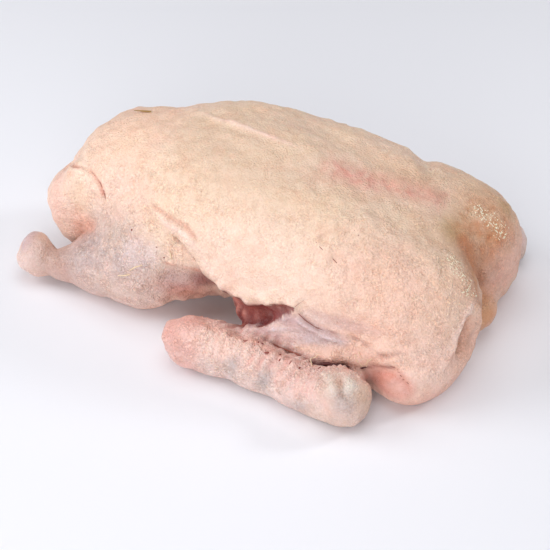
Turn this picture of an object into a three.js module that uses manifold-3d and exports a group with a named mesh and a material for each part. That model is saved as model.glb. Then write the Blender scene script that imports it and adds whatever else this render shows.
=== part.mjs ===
// A whole raw goose lying on its back, breast up. One closed solid in millimetres: +X is the
// neck end, -X the tail, +Z up, and the origin is under the middle of the bird, on the surface
// that it lies on. The flesh is described as a distance field, a sum of muscles, joints and
// skin folds that melt into each other, and the skin is the surface where that field is zero.

import * as THREE from 'three';
import Module from 'manifold-3d';

const wasm = await Module();
wasm.setup();

// Driving dimensions, mm. Heights are measured from the lowest point of the spine, before the
// weight of the bird flattens it.
const cell = [9.4, 7.1, 7.1];          // facet size along, across and up
const reach = { low: [-217, -172, -32], high: [224, 172, 170] };   // box sampled for the skin
const flattened = 3;                   // how far the back is pressed flat
const crispFold = 4;                   // blend radius where one form folds over another
const smoothFold = 16;                 // blend radius where leg and tail run into the trunk
const smoothSkin = 26;                 // blend radius where skin runs on unbroken
const wingFold = 9;                    // blend radius between the upper arm and the trunk
const forearmFold = 6;                 // blend radius between the forearm and what it touches
const lipRim = 3;                      // rounding of the edge of the flank's skin
const lobeRim = 8;                     // rounding of the folds in the front lobes
const flankTop = [80, 112];            // heights between which the fold over the thigh dies out
const tailTop = [48, 72];              // heights between which the tail lifts off the belly
const shank = [-135, -105];            // stretch in which the leg comes clear of the belly
const middleRounding = 16;             // how softly the two halves of the breast meet
const elbow = -5;                      // where the near wing's elbow lies along the bird
const farWingShift = 44;               // the far wing lies this much nearer the neck

// ---------------------------------------------------------------- field building blocks

const radians = THREE.MathUtils.degToRad;

// An ellipsoid. A positive pitch lifts its neck end, a positive yaw swings it to the far side.
function ellipsoid(at, radii, { pitch = 0, yaw = 0 } = {}) {
  const turn = new THREE.Euler(0, -radians(pitch), radians(yaw), 'ZYX');
  const local = new THREE.Matrix4().makeRotationFromEuler(turn).transpose();
  const centre = new THREE.Vector3(...at);
  const q = new THREE.Vector3();
  return (p) => {
    q.copy(p).sub(centre).applyMatrix4(local);
    const near = Math.hypot(q.x / radii[0], q.y / radii[1], q.z / radii[2]);
    const slope = Math.hypot(q.x / radii[0] ** 2, q.y / radii[1] ** 2, q.z / radii[2] ** 2);
    return near * (near - 1) / Math.max(slope, 1e-9);
  };
}

// A limb segment between two round ends of different radius.
function taper(from, to, radiusFrom, radiusTo) {
  const start = new THREE.Vector3(...from);
  const axis = new THREE.Vector3(...to).sub(start);
  const length = axis.length();
  axis.normalize();
  const sine = THREE.MathUtils.clamp((radiusFrom - radiusTo) / length, -0.99, 0.99);
  const cosine = Math.sqrt(1 - sine * sine);
  const q = new THREE.Vector3();
  return (p) => {
    q.copy(p).sub(start);
    const along = q.dot(axis);
    const out = Math.sqrt(Math.max(q.lengthSq() - along * along, 0));
    const foot = along * cosine - out * sine;
    if (foot < 0) return Math.hypot(along, out) - radiusFrom;
    if (foot > length * cosine) return Math.hypot(along - length, out) - radiusTo;
    return out * cosine + along * sine - radiusFrom;
  };
}

// A flat web of skin over a triangle, with rounded edges.
function web(corners, halfThickness) {
  const triangle = new THREE.Triangle(...corners.map((corner) => new THREE.Vector3(...corner)));
  const foot = new THREE.Vector3();
  return (p) => triangle.closestPointToPoint(p, foot).distanceTo(p) - halfThickness;
}

// Two distances joined with a rounded valley of the given width between them.
function melt(a, b, width) {
  const overlap = Math.max(width - Math.abs(a - b), 0) / width;
  return Math.min(a, b) - overlap * overlap * width * 0.25;
}

// Forms added one after another, each with its own melt width.
function blend(first, ...rest) {
  return (p) => rest.reduce((d, [form, width]) => melt(d, form(p), width), first(p));
}

// A form with a tool's form taken out of it, and a rim rounded by the given width.
function carve(whole, tool, width) {
  return -melt(-whole, tool, width);
}

// A limb through joints given as [x, y, z, radius], with a tapered segment between each two.
function limb(joints, soft = 6) {
  const [first, ...rest] = joints.slice(1).map((to, i) => {
    const from = joints[i];
    return taper(from.slice(0, 3), to.slice(0, 3), from[3], to[3]);
  });
  return blend(first, ...rest.map((segment) => [segment, soft]));
}

// The same form on both sides of the bird: the far side mirrors the near one, which has y < 0.
// The rounding keeps a crease from forming where the two sides meet.
function paired(form, rounding = 0) {
  const q = new THREE.Vector3();
  return (p) => form(q.set(p.x, -Math.hypot(p.y, rounding), p.z));
}

// A form on the far side only.
function flipped(form) {
  const q = new THREE.Vector3();
  return (p) => form(q.set(p.x, -p.y, p.z));
}

// ---------------------------------------------------------------- parts of the bird

function backAndBelly() {
  return blend(
    ellipsoid([5, 0, 60], [160, 74, 60]),
    [ellipsoid([-92, 0, 68], [76, 66, 60]), 24],
  );
}

function leg() {
  const drumstick = limb([
    [-46, -46, 44, 34], [-76, -64, 37, 36], [-112, -69, 29, 26],
    [-143, -76, 22, 12.5], [-160, -78, 22, 11],
  ]);
  const thigh = ellipsoid([-48, -52, 62], [46, 34, 38], { pitch: -24 });
  const ankle = blend(
    ellipsoid([-171, -74, 26], [15, 13, 14]),
    [ellipsoid([-167, -82, 21], [15, 12, 12]), 5],
  );
  return blend(drumstick, [thigh, 14], [ankle, 5]);
}

// The tail, bent up and to the near side against the belly.
function tail() {
  const lobe = limb([[-141, -38, 81, 17], [-153, -31, 55, 23], [-148, -42, 36, 16]], 14);
  return blend(lobe, [ellipsoid([-146, -6, 48], [30, 34, 36]), 16]);
}

// The breast, with the loose skin of its flanks, the crop and the two lobes of neck skin.
function breast() {
  const muscle = blend(
    ellipsoid([54, -38, 76], [122, 52, 56], { pitch: -7 }),
    [ellipsoid([-30, -28, 96], [58, 42, 45]), 24],
    [ellipsoid([48, -54, 68], [88, 40, 46], { pitch: -14, yaw: -5 }), 14],
    [ellipsoid([104, -50, 60], [76, 46, 48], { pitch: -4 }), 24],
  );
  const flankLip = limb([
    [-50, -71, 98, 5], [-24, -77, 84, 7], [-6, -80, 66, 8], [8, -84, 58, 8],
    [28, -88, 56, 8], [50, -93, 60, 7], [70, -94, 66, 6],
  ]);
  const keel = ellipsoid([18, 0, 98], [90, 26, 44], { pitch: -8 });
  const crop = ellipsoid([114, 0, 72], [56, 40, 42]);
  const shoulder = ellipsoid([150, -48, 54], [48, 46, 46]);
  const neckSkin = ellipsoid([158, -58, 26], [36, 53, 34]);
  const throat = ellipsoid([170, 8, 24], [26, 26, 20]);
  return blend(
    paired(blend(muscle, [flankLip, 8]), middleRounding),
    [keel, 24],
    [crop, 24],
    [paired(shoulder, 4), 20],
    [paired(neckSkin, 4), 14],
    [throat, 12],
  );
}

// The fold between the two front lobes.
const cleft = limb([
  [156, -4, 114, 3], [176, -9, 98, 6], [192, -10, 78, 8], [202, -8, 56, 9], [206, -6, 34, 8],
]);

// The hollow where the near lobe's skin folds over.
const lobeHollow = limb([
  [196, -64, 78, 3], [202, -69, 64, 7], [203, -72, 48, 7], [198, -74, 34, 3],
]);

// The dip where the far breast muscle ends before the shoulder.
const farBreastEnd = limb([
  [94, 93, 98, 10], [105, 81, 111, 10], [115, 59, 124, 9], [126, 36, 125, 6],
]);

// The gap below the lip of the flank.
const underFlank = paired(limb([
  [-10, -90, 52, 4], [10, -94, 44, 8], [30, -98, 41, 10], [50, -103, 45, 10], [64, -106, 54, 5],
]));

// Upper arm back along the flank, with its webs of skin, the torn skin under the flank and the
// roll where it meets the breast.
function upperArm(elbowX) {
  const bone = limb([[145, -78, 34, 26], [105, -88, 22, 16], [55, -99, 20, 14],
    [elbowX + 5, -114, 20, 14]]);
  const roll = limb([[80, -107, 32, 5], [108, -107, 37, 7], [132, -96, 42, 8],
    [150, -88, 40, 12]]);
  const innerShoulder = limb([[132, -88, 20, 13], [160, -86, 15, 13]]);
  const behind = [elbowX + 43, -105, 34];
  const armpit = [elbowX + 71, -97, 57];
  const inFront = [112, -97, 46];
  const outside = [132, -110, 29];
  const tornSkin = [[elbowX + 20, -74, 33], [elbowX + 43, -97, 26], [elbowX + 71, -89, 49]];
  return blend(
    bone,
    [innerShoulder, 6],
    [roll, 4],
    [web([behind, armpit, inFront], 4), 6],
    [web([behind, inFront, outside], 4), 8],
    [web(tornSkin, 6), 6],
  );
}

const nearForearm = limb([
  [-5, -121, 22, 20], [16, -119, 22, 19.5], [50, -122, 22, 18.5],
  [89, -127, 20, 18], [106, -130, 21, 18.5], [125, -131, 24, 22],
]);

const farForearm = flipped(limb([
  [39, -124, 22, 19], [60, -121, 22, 18.5], [96, -119, 22, 18],
  [130, -116, 21, 18], [172, -106, 19, 17],
]));

function goose() {
  const trunk = backAndBelly();
  const tailForm = tail();
  const legs = paired(leg());
  const inFront = breast();
  const nearArm = upperArm(elbow);
  const farArm = flipped(upperArm(elbow + farWingShift));
  const { smoothstep } = THREE.MathUtils;
  return (p) => {
    const tailFold = crispFold + (smoothFold - crispFold) * (1 - smoothstep(p.z, ...tailTop));
    const legFold = crispFold + (smoothFold - crispFold) * smoothstep(p.x, ...shank);
    const breastFold = crispFold + (smoothSkin - crispFold) * smoothstep(p.z, ...flankTop);
    let d = melt(trunk(p), tailForm(p), tailFold);
    d = melt(d, legs(p), legFold);
    d = melt(d, inFront(p), breastFold);
    d = carve(d, underFlank(p), lipRim);
    d = carve(d, cleft(p), lobeRim);
    d = carve(d, lobeHollow(p), lobeRim);
    d = carve(d, farBreastEnd(p), lobeRim);
    d = melt(d, nearArm(p), wingFold);
    d = melt(d, farArm(p), wingFold);
    d = melt(d, nearForearm(p), forearmFold);
    return melt(d, farForearm(p), forearmFold);
  };
}

// ---------------------------------------------------------------- field to solid

const axes = ['x', 'y', 'z'];

// Moves a point straight onto the skin, by no more than half a facet.
function settle(field, point) {
  const step = 0.5;                    // distance over which the field's slope is measured
  const ahead = new THREE.Vector3();
  const back = new THREE.Vector3();
  const slope = new THREE.Vector3();
  for (const axis of axes) {
    ahead.copy(point)[axis] += step;
    back.copy(point)[axis] -= step;
    slope[axis] = (field(ahead) - field(back)) / (2 * step);
  }
  const limit = Math.min(...cell) / 2;
  const steepness = Math.max(slope.length(), 0.3);
  const move = THREE.MathUtils.clamp(field(point) / steepness, -limit, limit);
  point.addScaledVector(slope.normalize(), -move);
}

// One vertex in each grid cell that the skin passes, one quad round each grid edge it crosses.
function skinOf(field) {
  const { low, high } = reach;
  const count = low.map((value, i) => Math.ceil((high[i] - value) / cell[i]) + 1);
  const index = (i, j, k) => (i * count[1] + j) * count[2] + k;
  const place = (i, j, k) => new THREE.Vector3(
    low[0] + i * cell[0], low[1] + j * cell[1], low[2] + k * cell[2]);

  const values = new Float64Array(count[0] * count[1] * count[2]);
  for (let i = 0; i < count[0]; i++) {
    for (let j = 0; j < count[1]; j++) {
      for (let k = 0; k < count[2]; k++) values[index(i, j, k)] = field(place(i, j, k));
    }
  }

  const vertices = [];
  const vertexOf = new Map();
  const corners = [0, 1, 2, 3, 4, 5, 6, 7].map((c) => [c & 1, (c >> 1) & 1, (c >> 2) & 1]);
  const vertexIn = (i, j, k) => {
    const key = index(i, j, k);
    if (vertexOf.has(key)) return vertexOf.get(key);
    const middle = new THREE.Vector3();
    let crossings = 0;
    for (const from of corners) {
      for (let axis = 0; axis < 3; axis++) {
        if (from[axis]) continue;
        const to = from.map((value, other) => (other === axis ? 1 : value));
        const a = values[index(i + from[0], j + from[1], k + from[2])];
        const b = values[index(i + to[0], j + to[1], k + to[2])];
        if (a < 0 === b < 0) continue;
        const start = place(i + from[0], j + from[1], k + from[2]);
        const end = place(i + to[0], j + to[1], k + to[2]);
        middle.add(start.lerp(end, a / (a - b)));
        crossings++;
      }
    }
    middle.divideScalar(crossings);
    settle(field, middle);
    vertices.push(middle);
    vertexOf.set(key, vertices.length - 1);
    return vertices.length - 1;
  };

  const triangles = [];
  const addQuad = (a, b, c, d) => {
    const straight = vertices[a].distanceTo(vertices[c]) <= vertices[b].distanceTo(vertices[d]);
    if (straight) triangles.push(a, b, c, a, c, d);
    else triangles.push(b, c, d, b, d, a);
  };
  for (let i = 1; i < count[0] - 1; i++) {
    for (let j = 1; j < count[1] - 1; j++) {
      for (let k = 1; k < count[2] - 1; k++) {
        for (let axis = 0; axis < 3; axis++) {
          const next = [i, j, k];
          next[axis] += 1;
          const inside = values[index(i, j, k)] < 0;
          if (inside === values[index(...next)] < 0) continue;
          const u = (axis + 1) % 3;
          const v = (axis + 2) % 3;
          const around = [[-1, -1], [0, -1], [0, 0], [-1, 0]].map(([du, dv]) => {
            const at = [i, j, k];
            at[u] += du;
            at[v] += dv;
            return vertexIn(...at);
          });
          addQuad(...(inside ? around : around.reverse()));
        }
      }
    }
  }
  return { vertices, triangles };
}

function solidOf({ vertices, triangles }) {
  const vertProperties = new Float32Array(vertices.flatMap((vertex) => vertex.toArray()));
  const triVerts = new Uint32Array(triangles);
  return new wasm.Manifold(new wasm.Mesh({ numProp: 3, vertProperties, triVerts }));
}

// Everything below the surface that the bird lies on, as a block.
function surfaceBlock() {
  const size = [600, 500, 100];
  const box = new THREE.BoxGeometry(...size).translate(0, 0, flattened - size[2] / 2);
  const corners = [];
  const cornerOf = new Map();
  const position = box.getAttribute('position');
  const triangles = [...box.index.array].map((i) => {
    const corner = new THREE.Vector3().fromBufferAttribute(position, i);
    const key = corner.toArray().join();
    if (!cornerOf.has(key)) cornerOf.set(key, corners.push(corner) - 1);
    return cornerOf.get(key);
  });
  return solidOf({ vertices: corners, triangles });
}

function geometryOf(solid) {
  const { vertProperties, triVerts } = solid.getMesh();
  const geometry = new THREE.BufferGeometry();
  geometry.setAttribute('position', new THREE.BufferAttribute(vertProperties, 3));
  geometry.setIndex(new THREE.BufferAttribute(triVerts, 1));
  geometry.computeVertexNormals();
  return geometry;
}

// Puts the origin under the middle of the bird, on the surface.
function centred(geometry) {
  geometry.computeBoundingBox();
  const { min, max } = geometry.boundingBox;
  return geometry.translate(-(min.x + max.x) / 2, -(min.y + max.y) / 2, -min.z);
}

const skin = skinOf(goose());
const onSurface = 1.2;                 // vertices this close to the surface lie on it
for (const vertex of skin.vertices) {
  if (Math.abs(vertex.z - flattened) < onSurface) vertex.z = flattened;
}

const group = new THREE.Group();
const body = new THREE.Mesh(
  centred(geometryOf(solidOf(skin).subtract(surfaceBlock()))),
  new THREE.MeshStandardMaterial({ color: 0xe6c9ae, roughness: 0.5, metalness: 0 }),
);
body.name = 'goose';
group.add(body);

export default group;
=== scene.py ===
"""Looks of the whole raw goose: its skin in full detail, a pale table, soft light and the camera.

The goose is a distance field of the same named forms as the solid. It is meshed finely, gets
folds, wrinkles and quill marks as relief, and a tint for each region, in the bird's coordinates:
millimetres, +X to the neck end, -Y the near side, +Z up out of the breast.
"""

import math

import bmesh
import bpy
import numpy as np
from mathutils import Matrix, Vector


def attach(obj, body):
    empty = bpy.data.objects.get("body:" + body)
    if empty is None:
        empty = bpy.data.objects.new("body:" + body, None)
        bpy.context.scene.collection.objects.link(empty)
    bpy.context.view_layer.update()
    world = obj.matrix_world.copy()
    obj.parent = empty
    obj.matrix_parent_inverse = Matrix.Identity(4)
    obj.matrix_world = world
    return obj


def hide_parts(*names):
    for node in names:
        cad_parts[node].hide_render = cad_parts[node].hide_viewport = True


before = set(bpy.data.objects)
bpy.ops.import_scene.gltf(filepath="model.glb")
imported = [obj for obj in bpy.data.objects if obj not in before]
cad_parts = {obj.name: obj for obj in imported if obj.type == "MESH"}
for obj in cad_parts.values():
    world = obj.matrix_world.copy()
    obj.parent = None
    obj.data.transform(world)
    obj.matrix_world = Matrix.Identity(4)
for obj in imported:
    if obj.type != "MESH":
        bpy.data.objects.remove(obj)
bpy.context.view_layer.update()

# ---- driving dimensions, mm

MM = 0.001
CELL = 2.0  # facet size of the skin
BLOCK = 4  # facets in one side of a coarse block
# corners of the space that is searched for skin
REACH_LOW = np.array([-212.0, -166.0, -4.0])
REACH_HIGH = np.array([218.0, 166.0, 164.0])
FLATTENED = 3.0  # how far the back is pressed flat
CRISP_FOLD = 4.0  # blend radius where one form folds over another
SMOOTH_FOLD = 16.0  # blend radius where leg and tail run into the trunk
SMOOTH_SKIN = 26.0  # blend radius where skin runs on unbroken
WING_FOLD = 9.0  # blend radius between the upper arm and the trunk
FOREARM_FOLD = 6.0  # blend radius between the forearm and what it touches
LIP_RIM = 3.0  # rounding of the edge of the flank's skin
LOBE_RIM = 8.0  # rounding of the folds in the front lobes
FLANK_TOP = (80.0, 112.0)  # heights between which the fold over the thigh dies out
TAIL_TOP = (48.0, 72.0)  # heights between which the tail lifts off the belly
SHANK = (-135.0, -105.0)  # stretch in which the leg comes clear of the belly
MIDDLE_ROUNDING = 16.0  # how softly the two halves of the breast meet
ELBOW = -5.0  # where the near wing's elbow lies along the bird
FAR_WING_SHIFT = 44.0  # the far wing lies this much nearer the neck
BEADS = 210  # beads of moisture, brighter than white as painted glints, on each front lobe
BEAD_BAND = 7.5  # half the width of the band that they lie in
BEAD_RADIUS = (0.2, 0.52)  # smallest and largest
SIDES_DIFFER = 7.0  # how far folds on the far side stray from the near side's

NEAR_FOREARM = [
    (-5, -121, 22, 20), (16, -119, 22, 19.5), (50, -122, 22, 18.5), (89, -127, 20, 18),
    (106, -130, 21, 18.5), (125, -131, 24, 22),
]
FAR_FOREARM = [
    (39, -124, 22, 19), (60, -121, 22, 18.5), (96, -119, 22, 18), (130, -116, 21, 18),
    (172, -106, 19, 17),
]


# ---- field building blocks

def length(vectors):
    return np.sqrt((vectors * vectors).sum(-1))


def ellipsoid(points, at, radii, pitch=0.0, yaw=0.0):
    """Distance to an ellipsoid. A positive pitch lifts its neck end."""
    rise, swing = math.radians(pitch), math.radians(yaw)
    lift = np.array([[math.cos(rise), 0, -math.sin(rise)],
                     [0, 1, 0],
                     [math.sin(rise), 0, math.cos(rise)]])
    turn = np.array([[math.cos(swing), -math.sin(swing), 0],
                     [math.sin(swing), math.cos(swing), 0],
                     [0, 0, 1]])
    local = (points - at) @ (turn @ lift)
    near = length(local / radii)
    slope = length(local / np.square(radii))
    return near * (near - 1) / np.maximum(slope, 1e-9)


def taper(points, start, end):
    """Distance to a limb segment between two round ends, each given as x, y, z, radius."""
    axis = np.subtract(end[:3], start[:3])
    span = np.linalg.norm(axis)
    offset = points - start[:3]
    along = offset @ (axis / span)
    out = np.sqrt(np.maximum((offset * offset).sum(-1) - along ** 2, 0))
    sine = np.clip((start[3] - end[3]) / span, -0.99, 0.99)
    cosine = math.sqrt(1 - sine ** 2)
    foot = along * cosine - out * sine
    side = out * cosine + along * sine - start[3]
    first = np.hypot(along, out) - start[3]
    last = np.hypot(along - span, out) - end[3]
    return np.where(foot < 0, first, np.where(foot > span * cosine, last, side))


def limb(points, joints, soft=6.0):
    """Distance to a limb through joints given as x, y, z, radius."""
    segments = [taper(points, a, b) for a, b in zip(joints[:-1], joints[1:])]
    return blend(segments[0], *((segment, soft) for segment in segments[1:]))


def web(points, corners, half_thickness):
    """Distance to a flat web of skin over a triangle."""
    a, b, c = np.array(corners)
    normal = np.cross(b - a, a - c)
    inside = np.zeros(points.shape[:-1])
    edge_gap = np.full(points.shape[:-1], np.inf)
    for p, q in ((a, b), (b, c), (c, a)):
        edge, offset = q - p, points - p
        inside += np.sign(offset @ np.cross(edge, normal))
        share = np.clip(offset @ edge / (edge @ edge), 0, 1)
        edge_gap = np.minimum(edge_gap, length(share[..., None] * edge - offset))
    height = np.abs((points - a) @ normal) / np.linalg.norm(normal)
    return np.where(inside < 2, edge_gap, height) - half_thickness


def melt(a, b, width):
    """Two distances joined with a rounded valley of the given width between them."""
    overlap = np.maximum(width - np.abs(a - b), 0) / width
    return np.minimum(a, b) - overlap ** 2 * width * 0.25


def blend(first, *rest):
    for form, width in rest:
        first = melt(first, form, width)
    return first


def carve(whole, tool, width):
    """The whole with a tool's form taken out of it, and a rim rounded by the given width."""
    return -melt(-whole, tool, width)


def ramp(low, high, value):
    share = np.clip((value - low) / (high - low), 0, 1)
    return share * share * (3 - 2 * share)


def near_side(points, rounding=0.0):
    """The same place on the near side of the bird, with no crease along its middle."""
    side = -np.hypot(points[..., 1], rounding)
    return np.stack([points[..., 0], side, points[..., 2]], -1)


def flipped(points):
    return points * (1, -1, 1)


# ---- parts of the bird

def back_and_belly(points):
    return blend(
        ellipsoid(points, (5, 0, 60), (160, 74, 60)),
        (ellipsoid(points, (-92, 0, 68), (76, 66, 60)), 24),
    )


def leg(points):
    drumstick = limb(points, [
        (-46, -46, 44, 34), (-76, -64, 37, 36), (-112, -69, 29, 26),
        (-143, -76, 22, 12.5), (-160, -78, 22, 11),
    ])
    thigh = ellipsoid(points, (-48, -52, 62), (46, 34, 38), pitch=-24)
    ankle = blend(
        ellipsoid(points, (-171, -74, 26), (15, 13, 14)),
        (ellipsoid(points, (-167, -82, 21), (15, 12, 12)), 5),
    )
    return blend(drumstick, (thigh, 14), (ankle, 5))


def tail(points):
    """The tail, bent up and to the near side against the belly."""
    lobe = limb(points, [(-141, -38, 81, 17), (-153, -31, 55, 23), (-148, -42, 36, 16)], 14)
    return blend(lobe, (ellipsoid(points, (-146, -6, 48), (30, 34, 36)), 16))


def breast(points):
    near = near_side(points, MIDDLE_ROUNDING)
    muscle = blend(
        ellipsoid(near, (54, -38, 76), (122, 52, 56), pitch=-7),
        (ellipsoid(near, (-30, -28, 96), (58, 42, 45)), 24),
        (ellipsoid(near, (48, -54, 68), (88, 40, 46), pitch=-14, yaw=-5), 14),
        (ellipsoid(near, (104, -50, 60), (76, 46, 48), pitch=-4), 24),
    )
    flank_lip = limb(near, [
        (-50, -71, 98, 5), (-24, -77, 84, 7), (-6, -80, 66, 8), (8, -84, 58, 8),
        (28, -88, 56, 8), (50, -93, 60, 7), (70, -94, 66, 6),
    ])
    keel = ellipsoid(points, (18, 0, 98), (90, 26, 44), pitch=-8)
    crop = ellipsoid(points, (114, 0, 72), (56, 40, 42))
    lobe = near_side(points, 4)
    shoulder = ellipsoid(lobe, (150, -48, 54), (48, 46, 46))
    neck_skin = ellipsoid(lobe, (158, -58, 26), (36, 53, 34))
    throat = ellipsoid(points, (170, 8, 24), (26, 26, 20))
    return blend(
        muscle,
        (flank_lip, 8),
        (keel, 24),
        (crop, 24),
        (shoulder, 20),
        (neck_skin, 14),
        (throat, 12),
    )


def cleft(points):
    """The fold between the two front lobes."""
    return limb(points, [
        (156, -4, 114, 3), (176, -9, 98, 6), (192, -10, 78, 8), (202, -8, 56, 9), (206, -6, 34, 8),
    ])


def lobe_hollow(points):
    """The hollow where the near lobe's skin folds over."""
    return limb(points, [
        (196, -64, 78, 3), (202, -69, 64, 7), (203, -72, 48, 7), (198, -74, 34, 3),
    ])


def far_breast_end(points):
    """The dip where the far breast muscle ends before the shoulder."""
    return limb(points, [
        (94, 93, 98, 10), (105, 81, 111, 10), (115, 59, 124, 9), (126, 36, 125, 6),
    ])


def under_flank(near):
    """The gap below the lip of the flank."""
    return limb(near, [
        (-10, -90, 52, 4), (10, -94, 44, 8), (30, -98, 41, 10), (50, -103, 45, 10),
        (64, -106, 54, 5),
    ])


def upper_arm(points, elbow_x):
    """Upper arm back along the flank, its web of skin and the fold where it meets the breast."""
    bone = limb(points, [(145, -78, 34, 26), (105, -88, 22, 16), (55, -99, 20, 14),
                         (elbow_x + 5, -114, 20, 14)])
    roll = limb(points, [(80, -107, 32, 5), (108, -107, 37, 7), (132, -96, 42, 8),
                         (150, -88, 40, 12)])
    inner_shoulder = limb(points, [(132, -88, 20, 13), (160, -86, 15, 13)])
    behind = (elbow_x + 43, -105, 34)
    armpit = (elbow_x + 71, -97, 57)
    in_front = (112, -97, 46)
    outside = (132, -110, 29)
    torn_skin = ((elbow_x + 20, -74, 33), (elbow_x + 43, -97, 26), (elbow_x + 71, -89, 49))
    return blend(
        bone,
        (inner_shoulder, 6),
        (roll, 4),
        (web(points, (behind, armpit, in_front), 4), 6),
        (web(points, (behind, in_front, outside), 4), 8),
        (web(points, torn_skin, 6), 6),
    )


def fold_width(smooth_width, share):
    return CRISP_FOLD + (smooth_width - CRISP_FOLD) * share


def goose(points):
    near, far = near_side(points), flipped(points)
    along, height = points[..., 0], points[..., 2]
    whole = blend(
        back_and_belly(points),
        (tail(points), fold_width(SMOOTH_FOLD, 1 - ramp(*TAIL_TOP, height))),
        (leg(near), fold_width(SMOOTH_FOLD, ramp(*SHANK, along))),
        (breast(points), fold_width(SMOOTH_SKIN, ramp(*FLANK_TOP, height))),
    )
    whole = carve(whole, under_flank(near), LIP_RIM)
    whole = carve(whole, cleft(points), LOBE_RIM)
    whole = carve(whole, lobe_hollow(points), LOBE_RIM)
    whole = carve(whole, far_breast_end(points), LOBE_RIM)
    whole = blend(
        whole,
        (upper_arm(points, ELBOW), WING_FOLD),
        (upper_arm(far, ELBOW + FAR_WING_SHIFT), WING_FOLD),
        (limb(points, NEAR_FOREARM), FOREARM_FOLD),
        (limb(far, FAR_FOREARM), FOREARM_FOLD),
    )
    return carve(whole, height - FLATTENED, LIP_RIM)


# ---- field to mesh

def sampled(field):
    """The field on a fine grid, worked out only near the skin."""
    count = np.ceil((REACH_HIGH - REACH_LOW) / (CELL * BLOCK)).astype(int)
    centres = [REACH_LOW[i] + (np.arange(count[i]) + 0.5) * CELL * BLOCK - CELL / 2
               for i in range(3)]
    coarse = field(np.stack(np.meshgrid(*centres, indexing="ij"), -1))
    values = coarse
    for axis in range(3):
        values = np.repeat(values, BLOCK, axis)
    near_skin = np.argwhere(np.abs(values) < CELL * BLOCK * 1.6)
    fine = field(REACH_LOW + near_skin * CELL)
    values[tuple(near_skin.T)] = fine
    return values


def skin_net(values):
    """One vertex in each grid cell that the skin passes, one quad round each edge it crosses."""
    inside = values < 0
    corners = list(np.ndindex(2, 2, 2))
    size = np.array(values.shape) - 1
    filled = sum(inside[i:size[0] + i, j:size[1] + j, k:size[2] + k].astype(np.int8)
                 for i, j, k in corners)
    cells = np.argwhere((filled > 0) & (filled < 8))
    number = np.full(tuple(size), -1)
    number[tuple(cells.T)] = np.arange(len(cells))

    total = np.zeros((len(cells), 3))
    crossings = np.zeros(len(cells))
    for corner in corners:
        for axis in np.flatnonzero(np.equal(corner, 0)):
            step = np.eye(3, dtype=int)[axis]
            a = values[tuple((cells + corner).T)]
            b = values[tuple((cells + corner + step).T)]
            crossed = (a < 0) != (b < 0)
            share = np.where(crossed, a / np.where(crossed, a - b, 1), 0)
            total += (corner + share[:, None] * step) * crossed[:, None]
            crossings += crossed
    vertices = REACH_LOW + (cells + total / crossings[:, None]) * CELL

    quads = []
    for axis in range(3):
        edges = np.argwhere(np.diff(inside, axis=axis))
        turned = []
        for aside in ((0, -1, -1), (0, 0, -1), (0, 0, 0), (0, -1, 0)):
            turned.append(number[tuple((edges + np.roll(aside, axis)).T)])
        turned = np.stack(turned, 1)
        inward = ~inside[tuple(edges.T)]
        turned[inward] = turned[inward][:, ::-1]
        quads.append(turned)
    return vertices, np.concatenate(quads)


def slope_of(field, points, step=0.5):
    shifts = np.eye(3) * step
    return np.stack([field(points + s) - field(points - s) for s in shifts], -1) / (2 * step)


# ---- relief and regions

def bumps(points, size, seed):
    """Smooth random relief between -1 and 1, with bumps about size mm across."""
    side = 32
    lattice = np.random.default_rng(seed).random((side, side, side)) * 2 - 1
    scaled = points / size
    base = np.floor(scaled).astype(int)
    share = scaled - base
    share = share * share * (3 - 2 * share)
    total = np.zeros(len(points))
    for corner in np.ndindex(2, 2, 2):
        weight = np.prod(np.where(corner, share, 1 - share), -1)
        total += lattice[tuple(((base + corner) % side).T)] * weight
    return total


def cloudy(points, size, seed):
    """The same bumps as a share from 0 to 1."""
    return 0.5 + 0.5 * bumps(points, size, seed)


def drift(points, size, seeds):
    """A smooth random shift, between -1 and 1 along each axis."""
    return np.stack([bumps(points, size, seed) for seed in seeds], -1)


def streaks(points, way, size, seed, stretch=4.0):
    """Random relief drawn out along one direction, like skin that is pulled."""
    way = way / np.linalg.norm(way)
    along = (points @ way)[:, None] * way
    return bumps(points - along * (1 - 1 / stretch), size, seed)


def smooth_path(points, steps=8):
    """A Catmull-Rom curve through a few chosen points."""
    knots = np.array([points[0], *points, points[-1]], float)
    path = []
    for a, b, c, d in zip(knots[:-3], knots[1:-2], knots[2:-1], knots[3:]):
        for t in np.arange(steps) / steps:
            path.append(0.5 * (2 * b + (c - a) * t + (2 * a - 5 * b + 4 * c - d) * t ** 2
                               + (3 * b - a - 3 * c + d) * t ** 3))
    return np.array([*path, knots[-1]])


def beside(points, path):
    """Gap from each point to a path, the share of the path passed, and the offset from it."""
    path = smooth_path(path)
    best = np.full(len(points), np.inf)
    passed = np.zeros(len(points))
    offset = np.zeros_like(points)
    for number, (a, b) in enumerate(zip(path[:-1], path[1:])):
        edge = b - a
        share = np.clip((points - a) @ edge / (edge @ edge), 0, 1)
        away = points - a - share[:, None] * edge
        gap = length(away)
        closer = gap < best
        best = np.where(closer, gap, best)
        passed = np.where(closer, (number + share) / (len(path) - 1), passed)
        offset = np.where(closer[:, None], away, offset)
    return best, passed, offset


def stroke(points, path, width, fade=0.12):
    """1 on a line over the skin, fading out beside it and toward its ends."""
    knots = np.array(path, float)
    around = ((points > knots.min(0) - 3 * width) & (points < knots.max(0) + 3 * width)).all(-1)
    gap, passed, _ = beside(points[around], path)
    ends = ramp(0, fade, passed) * ramp(0, fade, 1 - passed)
    line = np.zeros(len(points))
    line[around] = np.exp(-(gap / width) ** 2) * ends
    return line


def patch(points, at, radii, soft=0.5):
    """1 inside an ellipsoid, fading to 0 outside it."""
    return 1 - ramp(1 - soft, 1 + soft, length((points - at) / radii))


# ---- relief of the skin

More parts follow.
